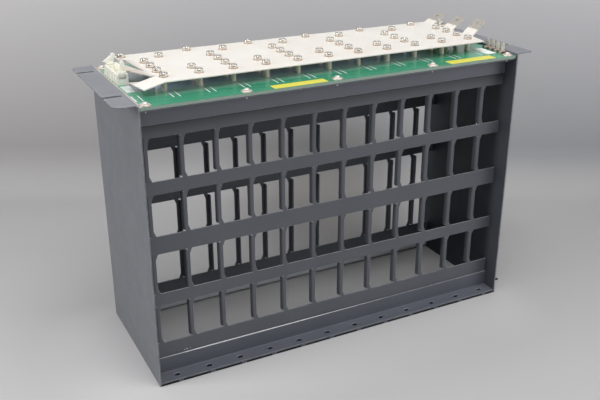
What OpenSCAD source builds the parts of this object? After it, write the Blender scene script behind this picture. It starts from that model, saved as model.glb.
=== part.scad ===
// Card cage for a rack, standing on its open card side with the backplane on top.
// X runs across the rack width, Y from the near side to the far side, Z up. Millimetres.
// The origin is the middle of the footprint, on the floor.

/* [Envelope] */
// Width over the two rack flanges
rack_w = 482.6; // [460:0.1:520]
// Width over the two side plates
body_w = 439.2; // [400:0.1:450]
// Depth of the side plates
body_d = 168.4; // [140:0.1:220]
// Height of the side plates
plate_h = 305.4; // [280:0.1:360]

/* [Side plates] */
// Sheet of the side plates
side_t = 1.5; // [1:0.1:2.5]
// Inner radius of the flange bend
flange_bend = 1.2; // [0.6:0.1:3]
// Setback of the flange ends from the plate edges
flange_setback = 2.5; // [0:0.1:8]
// Corner cut at the near end of the left flange
flange_cut = 6; // [1:0.1:10]
// Corner cut at the other flange ends
flange_nip = 1.2; // [0.4:0.1:6]
// Distance between the two open slots of a flange
slot_spacing = 101.6; // [80:0.1:120]
// Shift of the slot pair towards the far side
slot_shift = 6.4; // [-10:0.1:10]
// Width of an open slot
slot_w = 5.6; // [4.6:0.1:8]
// Depth of an open slot from the flange edge
slot_depth = 18.6; // [12:0.1:19]
// Radius of the stud on the right plate's outer face
stud_r = 1.4; // [0.8:0.1:3]
// Length of the stud
stud_l = 6.2; // [3:0.1:9]
// Place of the stud, from the near plate edge
stud_y = 4; // [3:0.1:12]
// Place of the stud, from the plate's foot
stud_z = 15.8; // [8:0.1:40]

/* [Guide panels] */
// Number of card slots
slots = 12; // [6:1:14]
// Sheet of the guide panels
panel_t = 1.2; // [0.8:0.1:2]
// Inset of the panel's outer face from the side plate edge
panel_inset = 20.4; // [14:0.1:30]
// Gap above and below a guide panel
panel_gap = 1; // [0.5:0.1:4]
// Height of one window
window_h = 44.6; // [35:0.1:48]
// Strip between two windows of a pair
row_gap = 14; // [8:0.1:20]
// Strip across the middle of the panel
mid_gap = 20; // [10:0.1:30]
// Width of a guide bar
bar_w = 5; // [4:0.1:9]
// Depth of a card-guide lip
lip_d = 5.6; // [3.5:0.1:10]
// Inner radius of the lip bend
lip_bend = 1; // [0.5:0.1:2]
// Relief at each end of a lip
lip_relief = 1.2; // [0.5:0.1:4]
// Width of a window's corner cut
corner_w = 2.5; // [1:0.1:5]
// Height of a window's corner cut
corner_h = 6; // [2:0.1:10]
// First bar of the near panel, from the left side plate
guide_off = 5.1; // [3:0.1:12]
// Shift of the far panel's bars to the left
far_shift = 1.8; // [0:0.1:2.5]

/* [Rails] */
// Thickness of the rail angles
rail_t = 2; // [1.2:0.1:3]
// Inner radius of the rail bend
rail_bend = 1; // [0.5:0.1:3]
// Height of a rail's upright leg
rail_leg = 20.4; // [14:0.1:28]
// Setback of the front rail's flat leg from the plate edge
front_setback = 0.8; // [0:0.1:4]
// Setback of the rear rail's flat leg from the plate edge
rear_setback = 4; // [2:0.1:5]
// Height of the small feet on the front rails
foot_h = 2; // [1:0.1:5]
// Width of a foot
foot_w = 5; // [3:0.1:12]
// Length of an oblong hole in the front rail
oblong_l = 6.6; // [5:0.1:9]
// Width of an oblong hole in the front rail
oblong_w = 4.4; // [3:0.1:6]
// Oblong hole row, from the plate edge
oblong_y = 9.6; // [8:0.1:11]
// First oblong hole, from the left side plate
oblong_x = 20.4; // [12:0.1:30]
// Offset of a foot from its oblong hole
foot_shift = 1.6; // [-3:0.1:3]

/* [Backplane] */
// Thickness of the backplane board
board_t = 3.2; // [2.4:0.1:4.8]
// Board surface below the flange face
board_drop = 2.4; // [0:0.1:6]
// Gap between the board and the side plates
board_gap = 0.5; // [0.3:0.1:2]
// Setback of the board from the side plate edges
board_setback = 2; // [1:0.1:4]
// Outer board screws, from the side plates' inner faces
board_screw_out = 7.5; // [6:0.1:20]
// Inner board screws, from the side plates' inner faces
board_screw_in = 109.1; // [80:0.1:130]
// Place of the middle board screw
board_screw_mid = -8.5; // [-30:0.1:30]
// Board screw row, from the plate edge
board_screw_y = 8.6; // [8:0.1:12]
// Radius of a board screw's shank
board_shank_r = 1.5; // [1:0.1:2]
// Radius of a board screw's head
board_head_r = 2.8; // [2:0.1:4]
// Height of a board screw's head
board_head_h = 2.2; // [1.4:0.1:3]
// Radius of a board screw's washer
washer_r = 5.2; // [3:0.1:6]
// Thickness of a board screw's washer
washer_t = 0.8; // [0.5:0.1:1.5]
// Length of a board screw below the rail
board_tip = 3; // [1:0.1:5]
// Clearance round every screw shank
shank_gap = 0.15; // [0.1:0.05:0.4]

/* [Slot connectors] */
// Width of a slot connector
conn_w = 9; // [6:0.1:12]
// Length of a slot connector
conn_l = 104; // [70:0.1:110]
// Height of a slot connector
conn_h = 15; // [10:0.1:18]
// Width of the card slot
card_w = 2; // [1.4:0.1:3]
// Depth of the card slot
card_d = 9; // [5:0.1:10]
// Solid end beyond the card slot
conn_end = 5; // [3:0.1:10]
// Length of a connector's end ear
ear_l = 5; // [3:0.1:8]
// Height of a connector's end ear
ear_h = 4; // [2:0.1:8]
// Connector axis, right of its guide bar edge
conn_off = 1.65; // [0:0.05:5]

/* [Bus bar] */
// Thickness of the laminated bus bar
bus_t = 1; // [0.8:0.1:4]
// Height of the bus standoffs
standoff_h = 12; // [6:0.1:14]
// Radius of the thick standoffs
thick_r = 3.4; // [2.8:0.1:4.5]
// Radius of the thin standoffs
thin_r = 2.7; // [2.4:0.1:4.5]
// Depth of a standoff's screw bore
bore_d = 7; // [4:0.1:8]
// Radius of a bus screw's shank
bus_shank_r = 1.8; // [1.2:0.1:2]
// Radius of a bus screw's head
bus_head_r = 4.3; // [3.2:0.1:5]
// Height of a bus screw's head
bus_head_h = 4.1; // [2:0.1:4.5]
// Space left below a bus screw in its bore
bore_rest = 1; // [0.5:0.1:2]
// Bus bar's near edge, from the plate edge
bus_near = 30.5; // [24:0.1:40]
// Bus bar's far edge, from the plate edge
bus_far = 15.9; // [8:0.1:30]
// Bus bar's right edge, from the right plate's inner face
bus_right = 20; // [16:0.1:30]
// Bus bar's left edge, from the left plate's inner face
bus_left = 20; // [16:0.1:22]
// First screw column, from the left plate's inner face
bus_col = 40; // [36:0.1:48]
// First screw row, from the plate edge
bus_row = 49.5; // [40:0.1:60]
// Distance between the screw rows
row_step = 20.8; // [14:0.1:24]
// First screw of the two rear rows, from the left plate's inner face
rear_col = 25.2; // [24:0.1:30]
// Outer rear screw row, from the far plate edge
rear_row = 24; // [20:0.1:32]
// Distance between the two rear screw rows
rear_step = 14.5; // [10:0.1:20]

/* [Bus ends] */
// Hinge line of the tongue, from the left plate's inner face
tongue_root = 35; // [31:0.1:35.5]
// Slope of the tongue
tongue_angle = 14.5; // [5:0.1:25]
// Length of the tongue along its near edge
tongue_l = 21.6; // [15:0.1:28]
// Width of the tongue
tongue_w = 26.5; // [15:0.1:30]
// Length of the tongue's tail beyond its near edge
tail_l = 4.2; // [1:0.1:6]
// Width of the tongue's tail beyond its far edge
tail_w = 10; // [2:0.1:20]
// Bus bar left beyond the far end of the second strip's slit
slit_rest = 18.7; // [8:0.1:40]
// Root of the slit, from the bus bar's left edge
slit_in = 10; // [6:0.1:14]
// Lean of the slit's far side
slit_lean = 5; // [1:0.1:5]
// Cut between the tongue and the second strip
strip_gap = 0.8; // [0.4:0.1:2]
// Width of the second strip where it meets the header
strip_w = 36; // [15:0.1:40]
// Width of the second strip where it leaves the bus bar
strip_root = 18; // [8:0.1:26]
// Cut of the bus bar's right edge, before the near power lug
bus_cut = 3.8; // [0.5:0.1:6]
// Straight edge between that cut and the near power lug
bus_cut_rest = 1.5; // [0.5:0.1:6]
// Width of one power lug
lug_w = 18.6; // [12:0.1:19]
// Insulated length of the near power lug
lug_base_near = 10.5; // [5:0.1:14]
// Insulated length of the middle power lug
lug_base_mid = 8.2; // [5:0.1:14]
// Insulated length of the far power lug
lug_base_far = 6.7; // [5:0.1:14]
// Bare length of a power lug
lug_l = 14.2; // [9:0.1:20]
// Thickness of a bare power lug
lug_t = 0.8; // [0.6:0.1:2]
// Radius of a power lug's corners
lug_corner = 3; // [1:0.1:5]
// Radius of a power lug's hole
lug_hole_r = 2.6; // [1.5:0.1:4]
// Near power lug's axis, from the near plate edge
lug_near = 66.5; // [60:0.1:70]
// Far power lug's axis, from the far plate edge
lug_far = 24.7; // [22:0.1:30]
// Rise of the near power lug
lug_angle_near = 42; // [10:0.5:60]
// Rise of the middle power lug
lug_angle_mid = 34; // [10:0.5:60]
// Rise of the far power lug
lug_angle_far = 31; // [10:0.5:60]
// Reach of the ear that carries the last rear screw
ear_reach = 14; // [12:0.1:17]
// Width of that ear
ear_w = 15; // [12:0.1:18]

/* [Power header] */
// Width of the header
header_w = 12.2; // [8:0.1:14]
// Length of the header
header_l = 48; // [30:0.1:60]
// Height of the header's left wall and ends
header_h = 10.6; // [6:0.1:12]
// Rise of the header's right wall above its left wall
header_rise = 2.7; // [0:0.1:4]
// Lean of the header's left face
header_lean = 0.8; // [0.2:0.1:1.2]
// Gap between the header and the left side plate
header_gap = 2.6; // [1:0.1:6]
// Near end of the header, from the plate edge
header_near = 84; // [70:0.1:90]
// Wall of the header
header_wall = 1.8; // [1.2:0.1:3]
// Depth of the header's cavity
header_well = 7; // [3:0.1:9]
// Number of ribs on the header's left face
header_ribs = 6; // [3:1:10]
// Projection of a rib
rib_out = 1; // [0.5:0.1:1.6]
// Width of a rib
rib_w = 2; // [1:0.1:4]
// Length of a latch foot
latch_foot = 5; // [3:0.1:8]
// Inset of a latch from the header's right face
latch_in = 2; // [0.8:0.1:3]
// Depth of a latch's pocket in the header
latch_drop = 4.4; // [2:0.1:6]
// Gap round a latch in its pocket
latch_gap = 0.1; // [0.05:0.05:0.3]
// Height of a latch foot above the header
latch_foot_h = 2.6; // [1:0.1:6]
// Width of a latch prong
prong_w = 4.4; // [2:0.1:6]
// Thickness of a latch prong
prong_t = 3; // [2:0.1:4]
// Height of the near latch's prong above its foot
prong_h = 10.4; // [4:0.1:14]
// Height of the far latch's prong above its foot
far_prong_h = 8.8; // [4:0.1:14]
// Lean of the far latch's prong to the right
far_lean = 2.4; // [0:0.1:3]
// Reach of the far latch's web beyond its foot
web_out = 3.4; // [1:0.1:4.4]
// Height of the web's tip above the foot
web_tip = 0.9; // [0.5:0.1:3]

/* [Power tabs] */
// Number of power tabs
tabs = 4; // [2:1:5]
// Distance between the power tabs
tab_step = 8.8; // [6:0.1:12]
// First power tab, from the plate edge
tab_first = 19; // [16:0.1:24]
// Width of a power tab
tab_w = 4.8; // [2.8:0.1:6.3]
// Thickness of a power tab
tab_t = 0.8; // [0.5:0.1:1]
// Height of a power tab above its base
tab_h = 9; // [5:0.1:12]
// Corner cut of a power tab
tab_cut = 1.2; // [0.5:0.1:1.2]
// Radius of a power tab's hole
tab_hole_r = 0.8; // [0.4:0.1:1]
// Width of the tab base
base_w = 7; // [4:0.1:8]
// Height of the tab base
base_h = 2.3; // [1.5:0.1:5]
// Length of the tab base beyond its outer tabs
base_over = 2.4; // [1:0.1:5]
// Gap between the tab base and the board's right edge
base_gap = 2; // [0.5:0.1:4]

/* [Hidden] */
$fn = 48;
e = 0.01;
inner_w = body_w - 2 * side_t;
flange_w = (rack_w - body_w) / 2;
pitch = inner_w / slots;
left_in = -inner_w / 2;
near_y = -body_d / 2;
board_top = plate_h - board_drop;
board_bot = board_top - board_t;
board_w = inner_w - 2 * board_gap;
board_d = body_d - 2 * board_setback;
panel_lo = foot_h + panel_gap;
panel_hi = board_bot - panel_gap;
panel_mid = plate_h / 2;
row_lo = [
    panel_mid - mid_gap / 2 - row_gap - 2 * window_h,
    panel_mid - mid_gap / 2 - window_h,
    panel_mid + mid_gap / 2,
    panel_mid + mid_gap / 2 + row_gap + window_h
];
bend_out = lip_bend + panel_t;
leg_y = near_y + panel_inset - rail_t;
bus_z = board_top + standoff_h;
bus_top = bus_z + bus_t;
bus_x0 = left_in + bus_left;
bus_x1 = -left_in - bus_right;
bus_y0 = near_y + bus_near;
bus_y1 = -near_y - bus_far;
board_screw_x = [
    left_in + board_screw_out,
    left_in + board_screw_in,
    board_screw_mid,
    -left_in - board_screw_in,
    -left_in - board_screw_out
];
header_x0 = left_in + header_gap;
header_x1 = header_x0 + header_w;
header_y0 = near_y + header_near;
header_mid = header_y0 + header_l / 2;
tab_x = board_w / 2 - base_gap - base_w / 2;
rib_h = header_h - header_wall / 2;
end_l = latch_foot + header_wall;
latch_x = header_x0 + rib_out + header_wall;
latch_w = header_x1 - latch_in - latch_x;
latch_z = board_top + header_h - latch_drop;
lug_angle = [lug_angle_near, lug_angle_mid, lug_angle_far];
lug_base = [lug_base_near, lug_base_mid, lug_base_far];
lug_step = (body_d - lug_near - lug_far) / (len(lug_base) - 1);
tongue_x = left_in + tongue_root;
strip_y0 = bus_y0 + tongue_w + strip_gap;
strip_y1 = strip_y0 + strip_root;
slit_x = bus_x0 + slit_in;

function bar_x(i) = left_in + guide_off + i * pitch;
function col_x(i) = left_in + bus_col + i * pitch;
function row_y(i) = near_y + bus_row + i * row_step;
function rear_x(i) = left_in + rear_col + i * pitch;
function rear_y(i) = -near_y - rear_row - (i % 2) * rear_step;
function lug_y(i) = near_y + lug_near + i * lug_step;
function tab_y(i) = near_y + tab_first + i * tab_step;

// Quarter ring of a sheet bend, its centre at the origin, in the lower left quarter
module bend(r, t) {
    intersection() {
        difference() {
            circle(r + t);
            circle(r);
        }
        translate([-r - t, -r - t])
            square(r + t);
    }
}

// Profile of one side plate and its flange, drawn for the right side, in X and Z
module plate_profile() {
    outer = flange_bend + side_t;
    translate([body_w / 2 - side_t, 0])
        square([side_t, plate_h - outer]);
    translate([body_w / 2 - side_t + outer, plate_h - outer])
        mirror([0, 1])
            bend(flange_bend, side_t);
    translate([body_w / 2 - side_t + outer, plate_h - side_t])
        square([flange_w + side_t - outer, side_t]);
}

// Plan of what is cut from the right flange's far end: the setback and a corner
module flange_end(cut) {
    end = body_d / 2 - flange_setback;
    polygon([
        [body_w / 2 + flange_bend, end],
        [rack_w / 2 - cut, end],
        [rack_w / 2, end - cut],
        [rack_w / 2 + cut, end - cut],
        [rack_w / 2 + cut, body_d / 2 + cut],
        [body_w / 2 + flange_bend, body_d / 2 + cut]
    ]);
}

// Plan of what is cut from the right flange: both ends and the open slots
module flange_cuts(near_cut) {
    flange_end(flange_nip);
    mirror([0, 1])
        flange_end(near_cut);
    for (s = [-1, 1]) {
        translate([rack_w / 2 - slot_depth + slot_w / 2, slot_shift + s * slot_spacing / 2]) {
            circle(slot_w / 2);
            translate([0, -slot_w / 2])
                square([slot_depth, slot_w]);
        }
    }
}

module side_plate(near_cut) {
    difference() {
        translate([0, body_d / 2, 0])
            rotate([90, 0, 0])
                linear_extrude(body_d)
                    plate_profile();
        translate([0, 0, plate_h - 2 * side_t])
            linear_extrude(3 * side_t)
                flange_cuts(near_cut);
    }
}

module left_side_plate() {
    color("#5d5f66")
        mirror([1, 0, 0])
            side_plate(flange_cut);
}

module right_side_plate() {
    color("#5d5f66")
        side_plate(flange_nip);
}

module side_stud() {
    color("#3a3b3f")
        translate([body_w / 2, near_y + stud_y, stud_z])
            rotate([0, 90, 0])
                cylinder(r = stud_r, h = stud_l);
}

// One window in X and Z, with cut corners on its left side
module window(x0, x1, z0, cut) {
    polygon([
        [x0 + cut, z0],
        [x1, z0],
        [x1, z0 + window_h],
        [x0 + cut, z0 + window_h],
        [x0, z0 + window_h - corner_h],
        [x0, z0 + corner_h]
    ]);
}

// Guide panel with its outer face at Y zero and its lips bent to plus Y, drawn with lips on the bars' left
module guide_panel(first) {
    translate([0, panel_t, 0])
        rotate([90, 0, 0])
            linear_extrude(panel_t)
                difference() {
                    translate([left_in, panel_lo])
                        square([inner_w, panel_hi - panel_lo]);
                    for (z0 = row_lo) {
                        translate([left_in - e, z0])
                            square([first + bend_out + e, window_h]);
                        for (i = [0 : slots - 1]) {
                            x0 = left_in + first + i * pitch + bar_w;
                            last = i == slots - 1;
                            window(x0, last ? -left_in + e : x0 + pitch - bar_w + bend_out, z0, corner_w);
                        }
                    }
                }
    for (z0 = row_lo) {
        translate([left_in + first, 0, z0 + lip_relief])
            linear_extrude(window_h - 2 * lip_relief)
                for (i = [0 : slots - 1]) {
                    translate([i * pitch, 0])
                        lip_profile();
                }
    }
}

// Bent lip in plan, its outer face on the Y axis
module lip_profile() {
    translate([bend_out, bend_out])
        bend(lip_bend, panel_t);
    translate([0, bend_out])
        square([panel_t, lip_d - bend_out]);
}

module near_guide_panel() {
    color("#4c4e55")
        translate([0, near_y + panel_inset, 0])
            guide_panel(guide_off);
}

module far_guide_panel() {
    last_bar = left_in + guide_off - far_shift + bar_w + (slots - 1) * pitch;
    color("#4c4e55")
        rotate([0, 0, 180])
            translate([0, near_y + panel_inset, 0])
                guide_panel(-left_in - last_bar);
}

// Bent angle along X in Y and Z: flat leg out to minus Y, upright leg rising from its bend
module angle_profile(out) {
    outer = rail_bend + rail_t;
    translate([0, outer])
        square([rail_t, rail_leg - outer]);
    translate([-rail_bend, outer])
        mirror([1, 0])
            bend(rail_bend, rail_t);
    translate([-out, 0])
        square([out - rail_bend, rail_t]);
}

module angle_rail(out) {
    translate([left_in, 0, 0])
        rotate([90, 0, 90])
            linear_extrude(inner_w)
                angle_profile(out);
}

module oblong(l, w) {
    for (s = [-1, 1]) {
        translate([s * (l - w) / 2, 0])
            circle(w / 2);
    }
    square([l - w, w], center = true);
}

module front_rail() {
    out = leg_y - near_y - front_setback;
    difference() {
        translate([0, leg_y, foot_h])
            angle_rail(out);
        for (i = [0 : slots - 1]) {
            translate([left_in + oblong_x + i * pitch, near_y + oblong_y, foot_h - e])
                linear_extrude(rail_t + 2 * e)
                    oblong(oblong_l, oblong_w);
        }
    }
    for (i = [0 : slots - 1]) {
        translate([left_in + oblong_x + foot_shift + i * pitch - foot_w / 2, near_y + front_setback, 0])
            cube([foot_w, rail_t, foot_h + e]);
    }
}

module rear_rail() {
    out = leg_y - near_y - rear_setback;
    difference() {
        translate([0, leg_y, board_bot])
            mirror([0, 0, 1])
                angle_rail(out);
        for (x = board_screw_x) {
            translate([x, near_y + board_screw_y, board_bot - rail_t - e])
                cylinder(r = board_shank_r + shank_gap, h = rail_t + 2 * e);
        }
    }
}

module near_front_rail() {
    color("#54565e")
        front_rail();
}

module far_front_rail() {
    color("#54565e")
        mirror([0, 1, 0])
            front_rail();
}

module near_rear_rail() {
    color("#54565e")
        rear_rail();
}

module far_rear_rail() {
    color("#54565e")
        mirror([0, 1, 0])
            rear_rail();
}

module backplane_board() {
    color("#2f8f6c")
        difference() {
            translate([-board_w / 2, -board_d / 2, board_bot])
                cube([board_w, board_d, board_t]);
            for (s = [-1, 1]) {
                for (x = board_screw_x) {
                    translate([x, s * (near_y + board_screw_y), board_bot - e])
                        cylinder(r = board_shank_r + shank_gap, h = board_t + 2 * e);
                }
            }
        }
}

module board_screw() {
    shank = washer_t + board_t + rail_t + board_tip;
    translate([0, 0, washer_t - shank])
        cylinder(r = board_shank_r, h = shank);
    cylinder(r = washer_r, h = washer_t);
    translate([0, 0, washer_t])
        cylinder(r = board_head_r, h = board_head_h);
}

module board_screws() {
    color("#c9c6c0")
        for (s = [-1, 1]) {
            for (x = board_screw_x) {
                translate([x, s * (near_y + board_screw_y), board_top])
                    board_screw();
            }
        }
}

// Calls its children at each screw of the four-screw columns
module at_fours() {
    for (i = [0 : 2 : slots - 2]) {
        for (j = [0 : 3]) {
            translate([col_x(i), row_y(j), 0])
                children();
        }
    }
}

// Calls its children at each screw of the two-screw columns
module at_pairs() {
    for (i = [1 : 2 : slots - 2]) {
        for (j = [0 : 1]) {
            translate([col_x(i), row_y(j), 0])
                children();
        }
    }
}

// Calls its children at each screw of the two rear rows
module at_rears() {
    for (i = [0 : slots - 1]) {
        translate([rear_x(i), rear_y(i), 0])
            children();
    }
}

module standoff(r) {
    translate([0, 0, board_top])
        difference() {
            cylinder(r = r, h = standoff_h);
            translate([0, 0, standoff_h - bore_d])
                cylinder(r = bus_shank_r + shank_gap, h = bore_d + e);
        }
}

module thin_standoffs() {
    color("#b9b5ac")
        at_fours()
            standoff(thin_r);
}

module thick_standoffs() {
    color("#b9b5ac")
        union() {
            at_pairs()
                standoff(thick_r);
            at_rears()
                standoff(thick_r);
        }
}

module bus_screw() {
    shank = bus_t + bore_d - bore_rest;
    translate([0, 0, bus_top - shank])
        cylinder(r = bus_shank_r, h = shank + e);
    translate([0, 0, bus_top])
        cylinder(r = bus_head_r, h = bus_head_h);
}

module bus_screws() {
    color("#cfccc6")
        union() {
            at_fours()
                bus_screw();
            at_pairs()
                bus_screw();
            at_rears()
                bus_screw();
        }
}

// Plan of the flat bus bar with the slit and the strip that runs to the header
module bus_plan() {
    ear_y = rear_y(slots - 1);
    polygon([
        [tongue_x, bus_y0],
        [bus_x1 - bus_cut, bus_y0],
        [bus_x1, lug_y(0) - lug_w / 2 - bus_cut_rest],
        [bus_x1, bus_y1],
        [tongue_x, bus_y1]
    ]);
    polygon([
        [tongue_x + e, strip_y0],
        [slit_x, strip_y0],
        [header_x1, header_mid - strip_w / 2],
        [header_x1, header_mid + strip_w / 2],
        [slit_x, strip_y1],
        [slit_x - slit_lean, bus_y1 - slit_rest],
        [bus_x0, bus_y1 - slit_rest + slit_in - slit_lean],
        [bus_x0, bus_y1],
        [tongue_x + e, bus_y1]
    ]);
    translate([bus_x1 - e, ear_y - ear_w / 2])
        square([ear_reach + e, ear_w]);
}

// Plan of the sloping tongue, from its hinge line towards minus X
module tongue_plan() {
    polygon([
        [0, 0],
        [0, tongue_w],
        [-tongue_l + tail_l, tongue_w],
        [-tongue_l - tail_l, tongue_w + tail_w],
        [-tongue_l, 0]
    ]);
}

module bus_holes() {
    translate([0, 0, bus_z - e])
        cylinder(r = bus_shank_r + shank_gap, h = bus_t + 2 * e);
}

// Places its children at the hinge line of a power lug, with X along the lug
module at_lug(i) {
    translate([bus_x1, lug_y(i), bus_z])
        rotate([0, -lug_angle[i], 0])
            children();
}

module bus_bar() {
    color("#eceae4")
        union() {
            difference() {
                translate([0, 0, bus_z])
                    linear_extrude(bus_t)
                        bus_plan();
                at_fours()
                    bus_holes();
                at_pairs()
                    bus_holes();
                at_rears()
                    bus_holes();
            }
            translate([tongue_x, bus_y0, bus_top])
                rotate([0, -tongue_angle, 0])
                    translate([0, 0, -bus_t])
                        linear_extrude(bus_t)
                            tongue_plan();
            for (i = [0 : len(lug_base) - 1]) {
                at_lug(i)
                    translate([0, -lug_w / 2, 0])
                        cube([lug_base[i], lug_w, bus_t]);
            }
        }
}

// Bare copper end of a power lug, with rounded corners and a bolt hole
module lug_blade(base) {
    tip = lug_l - lug_corner;
    translate([base, 0, (bus_t - lug_t) / 2])
        linear_extrude(lug_t)
            difference() {
                union() {
                    translate([0, -lug_w / 2])
                        square([tip, lug_w]);
                    translate([0, lug_corner - lug_w / 2])
                        square([lug_l, lug_w - 2 * lug_corner]);
                    for (s = [-1, 1]) {
                        translate([tip, s * (lug_w / 2 - lug_corner)])
                            circle(lug_corner);
                    }
                }
                translate([lug_l / 2, 0])
                    circle(lug_hole_r);
            }
}

module power_lug(i) {
    color("#c2b8a4")
        at_lug(i)
            lug_blade(lug_base[i]);
}

// Outline of the header's block: its left face leans to the right
module header_end() {
    polygon([
        [rib_out, 0],
        [header_w, 0],
        [header_w, header_h],
        [rib_out + header_lean, header_h]
    ]);
}

// Rib on the header's left face, following its lean and rooted in the wall
module header_rib() {
    lean = header_lean * rib_h / header_h;
    root = rib_out + (lean + header_wall) / 2;
    polygon([
        [0, 0],
        [root, 0],
        [root, rib_h],
        [lean, rib_h]
    ]);
}

// Stands a section of the header upright, with its length along Y
module along_header(from, length) {
    translate([header_x0, header_y0 + from + length, board_top])
        rotate([90, 0, 0])
            linear_extrude(length)
                children();
}

// Ribbed housing with an open well, a high right wall and a latch pocket at each end
module power_header() {
    rib_step = (header_l - rib_w) / (header_ribs - 1);
    well_l = header_l - 2 * end_l;
    well_w = header_w - rib_out - 2 * header_wall;
    color("#ddd6bd")
        difference() {
            union() {
                along_header(0, header_l)
                    header_end();
                along_header(end_l, well_l)
                    translate([header_w - header_wall, 0])
                        square([header_wall, header_h + header_rise]);
                for (i = [0 : header_ribs - 1]) {
                    along_header(i * rib_step, rib_w)
                        header_rib();
                }
            }
            along_header(end_l, well_l)
                translate([rib_out + header_wall, header_h - header_well])
                    square([well_w, header_well + e]);
            for (y0 = [header_y0 - latch_gap, header_y0 + header_l - latch_foot - latch_gap]) {
                translate([latch_x - latch_gap, y0, latch_z])
                    cube([latch_w + 2 * latch_gap, latch_foot + 2 * latch_gap, latch_drop + e]);
            }
        }
}

// Face of a latch prong with its round tip, from the bottom of the foot; above the foot it leans to the right
module prong_face(rise, lean) {
    foot_h = latch_drop + latch_foot_h;
    round_z = foot_h + rise - prong_w / 2;
    translate([latch_w - prong_w, 0]) {
        polygon([
            [0, 0],
            [prong_w, 0],
            [prong_w, foot_h],
            [prong_w + lean, round_z],
            [lean, round_z],
            [0, foot_h]
        ]);
        translate([prong_w / 2 + lean, round_z])
            circle(prong_w / 2);
    }
}

// Sloping web of the far latch, from a tip left of the foot up to the prong
module web_face(rise) {
    foot_h = latch_drop + latch_foot_h;
    polygon([
        [0, foot_h - web_tip],
        [latch_w - prong_w / 2, foot_h - web_tip],
        [latch_w - prong_w / 2 + far_lean, foot_h + rise - prong_w / 2],
        [latch_w - prong_w + far_lean, foot_h + rise - prong_w / 2],
        [-web_out, foot_h + web_tip]
    ]);
}

// Latch: a foot in its pocket, and upright faces drawn by its children on the foot's far side
module latch() {
    color("#e3dcb9")
        translate([latch_x, header_y0, latch_z]) {
            cube([latch_w, latch_foot, latch_drop + latch_foot_h]);
            translate([0, latch_foot, 0])
                rotate([90, 0, 0])
                    linear_extrude(prong_t)
                        children();
        }
}

module near_latch() {
    latch()
        prong_face(prong_h, 0);
}

module far_latch() {
    translate([0, header_l - latch_foot, 0])
        latch()
            union() {
                prong_face(far_prong_h, far_lean);
                web_face(far_prong_h);
            }
}

module tab_base() {
    color("#d8cbb8")
        translate([tab_x - base_w / 2, tab_y(0) - tab_w / 2 - base_over, board_top])
            cube([base_w, (tabs - 1) * tab_step + tab_w + 2 * base_over, base_h]);
}

// Flat blade terminal standing on the base
module power_tab(i) {
    color("#c6c2b8")
        translate([tab_x - tab_t / 2, tab_y(i), board_top + base_h])
            rotate([90, 0, 90])
                linear_extrude(tab_t)
                    difference() {
                        polygon([
                            [-tab_w / 2, 0],
                            [tab_w / 2, 0],
                            [tab_w / 2, tab_h - tab_cut],
                            [tab_w / 2 - tab_cut, tab_h],
                            [tab_cut - tab_w / 2, tab_h],
                            [-tab_w / 2, tab_h - tab_cut]
                        ]);
                        translate([0, tab_h - tab_w / 2])
                            circle(tab_hole_r);
                    }
}

// Edge connector under the board, with a card slot open downwards and an ear at each end
module slot_connector(i) {
    color("#2b2c2f")
        translate([bar_x(i) + conn_off, 0, board_bot])
            difference() {
                union() {
                    translate([-conn_w / 2, -conn_l / 2, -conn_h])
                        cube([conn_w, conn_l, conn_h]);
                    translate([-conn_w / 2, -conn_l / 2 - ear_l, -ear_h])
                        cube([conn_w, conn_l + 2 * ear_l, ear_h]);
                }
                translate([-card_w / 2, conn_end - conn_l / 2, -conn_h - e])
                    cube([card_w, conn_l - 2 * conn_end, card_d + e]);
            }
}

left_side_plate();
right_side_plate();
side_stud();
near_guide_panel();
far_guide_panel();
near_front_rail();
far_front_rail();
near_rear_rail();
far_rear_rail();
backplane_board();
board_screws();
bus_bar();
thin_standoffs();
thick_standoffs();
bus_screws();
power_lug(0);  // power_lug_near
power_lug(1);  // power_lug_mid
power_lug(2);  // power_lug_far
power_header();
near_latch();
far_latch();
tab_base();
power_tab(0);  // power_tab_1
power_tab(1);  // power_tab_2
power_tab(2);  // power_tab_3
power_tab(3);  // power_tab_4
slot_connector(0);  // slot_connector_1
slot_connector(1);  // slot_connector_2
slot_connector(2);  // slot_connector_3
slot_connector(3);  // slot_connector_4
slot_connector(4);  // slot_connector_5
slot_connector(5);  // slot_connector_6
slot_connector(6);  // slot_connector_7
slot_connector(7);  // slot_connector_8
slot_connector(8);  // slot_connector_9
slot_connector(9);  // slot_connector_10
slot_connector(10);  // slot_connector_11
slot_connector(11);  // slot_connector_12
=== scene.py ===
import math
import random

import bmesh
import bpy
from mathutils import Matrix, Vector


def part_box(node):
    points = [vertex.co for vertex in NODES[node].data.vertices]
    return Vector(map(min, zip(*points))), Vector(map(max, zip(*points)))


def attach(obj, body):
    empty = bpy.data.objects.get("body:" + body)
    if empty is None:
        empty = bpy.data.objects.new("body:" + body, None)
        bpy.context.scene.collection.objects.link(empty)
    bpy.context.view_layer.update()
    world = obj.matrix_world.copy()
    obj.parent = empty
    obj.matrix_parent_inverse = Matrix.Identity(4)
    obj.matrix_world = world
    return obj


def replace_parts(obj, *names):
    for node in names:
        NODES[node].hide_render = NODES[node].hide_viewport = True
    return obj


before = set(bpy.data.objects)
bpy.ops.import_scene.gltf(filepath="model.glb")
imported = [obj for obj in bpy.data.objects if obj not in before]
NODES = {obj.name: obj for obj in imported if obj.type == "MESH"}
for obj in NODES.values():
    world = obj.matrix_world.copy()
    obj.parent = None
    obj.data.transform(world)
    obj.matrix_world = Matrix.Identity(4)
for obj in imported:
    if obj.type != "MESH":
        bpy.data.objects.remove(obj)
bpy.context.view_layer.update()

MM = 0.001

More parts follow.
